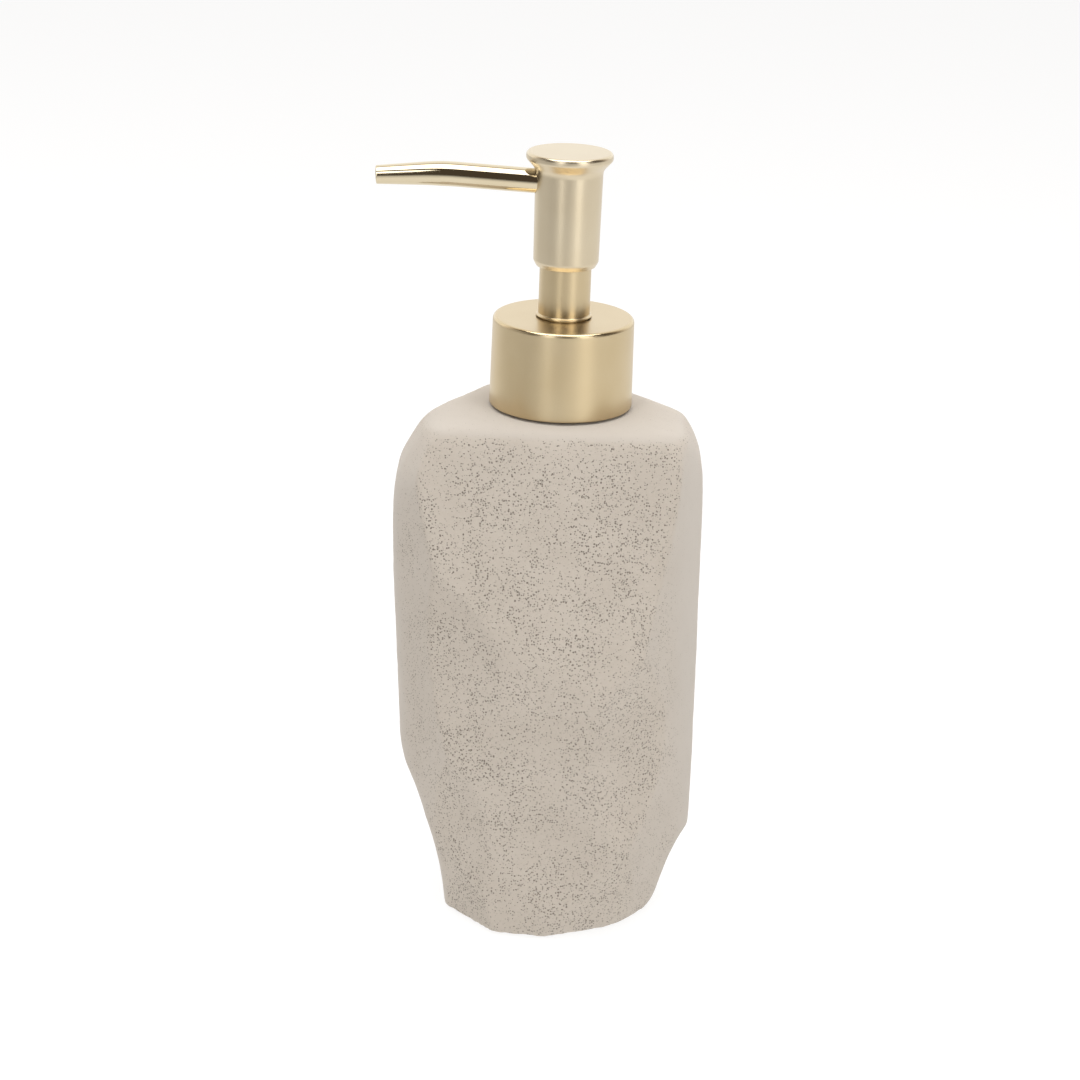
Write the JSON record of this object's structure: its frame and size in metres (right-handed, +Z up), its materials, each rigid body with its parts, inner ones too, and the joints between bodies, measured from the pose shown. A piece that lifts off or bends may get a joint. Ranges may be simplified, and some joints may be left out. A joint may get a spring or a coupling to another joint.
{
  "type": "soap pump dispenser",
  "caption": "Soap dispenser: chipped stone-look bottle with a threaded stopper, and a satin gold lotion pump with a long thin spout.",
  "frame": {"origin": "on the pump's axis, at the surface that the dispenser stands on", "axes": "+Z up along the pump's axis; the spout points to -X and the face with the large upper chip is towards -Y"},
  "size_m": [0.084, 0.0687, 0.1963],
  "materials": {
    "cast_stone": "matt cast stone, warm beige, finely pitted",
    "pad_foam": "matt foam rubber",
    "white_plastic": "moulded, satin",
    "natural_plastic": "milky, see-through",
    "silicone": "matt silicone",
    "satin_gold": "satin pale gold plating",
    "polished_gold": "polished pale gold plating",
    "steel": "bright stainless steel"
  },
  "bodies": {
    "bottle": {"bottle_body": "cast_stone", "base_pad": "pad_foam"},
    "stopper": {"neck_insert": "white_plastic", "plug_seal": "silicone"},
    "pump_core": {"pump_housing": "natural_plastic", "neck_gasket": "silicone", "ball_cage": "white_plastic", "dip_tube": "natural_plastic", "return_spring": "steel", "lock_ring": "white_plastic", "chimney_sleeve": "satin_gold"},
    "collar": {"collar_shell": "satin_gold", "screw_cap": "white_plastic"},
    "piston": {"piston_seal": "silicone"},
    "head": {"head_shell": "satin_gold", "actuator_core": "white_plastic", "spout_tube": "polished_gold", "spout_liner": "natural_plastic", "piston_stem": "white_plastic"},
    "inlet_valve": {"inlet_ball": "steel"},
    "outlet_valve": {"outlet_ball": "steel"}
  },
  "joints": [
    {"name": "stopper_lift", "type": "slide", "parent": "bottle", "child": "stopper", "axis": [0, 0, 1], "range_m": [0, 0.14]},
    {"name": "collar_rise", "type": "slide", "parent": "stopper", "child": "pump_core", "axis": [0, 0, 1], "range_m": [0, 0.00634]},
    {"name": "collar_turn", "type": "hinge", "parent": "pump_core", "child": "collar", "pos_m": [0, 0, 0.145], "axis": [0, 0, 1], "range_deg": [0, 540]},
    {"name": "head_press", "type": "slide", "parent": "pump_core", "child": "piston", "axis": [0, 0, -1], "range_m": [0, 0.0115], "stiffness_N_per_m": 900, "springref_m": -0.008, "deforming": ["return_spring"]},
    {"name": "head_turn", "type": "hinge", "parent": "piston", "child": "head", "pos_m": [0, 0, 0.18], "axis": [0, 0, 1], "continuous": true},
    {"name": "inlet_ball_lift", "type": "slide", "parent": "pump_core", "child": "inlet_valve", "axis": [0, 0, 1], "range_m": [0, 0.0014]},
    {"name": "outlet_ball_lift", "type": "slide", "parent": "head", "child": "outlet_valve", "axis": [0, 0, 1], "range_m": [0, 0.001]}
  ],
  "couplings": [
    {"joint": "collar_turn", "follows": "collar_rise", "rad_per_m": 1485.3}
  ]
}
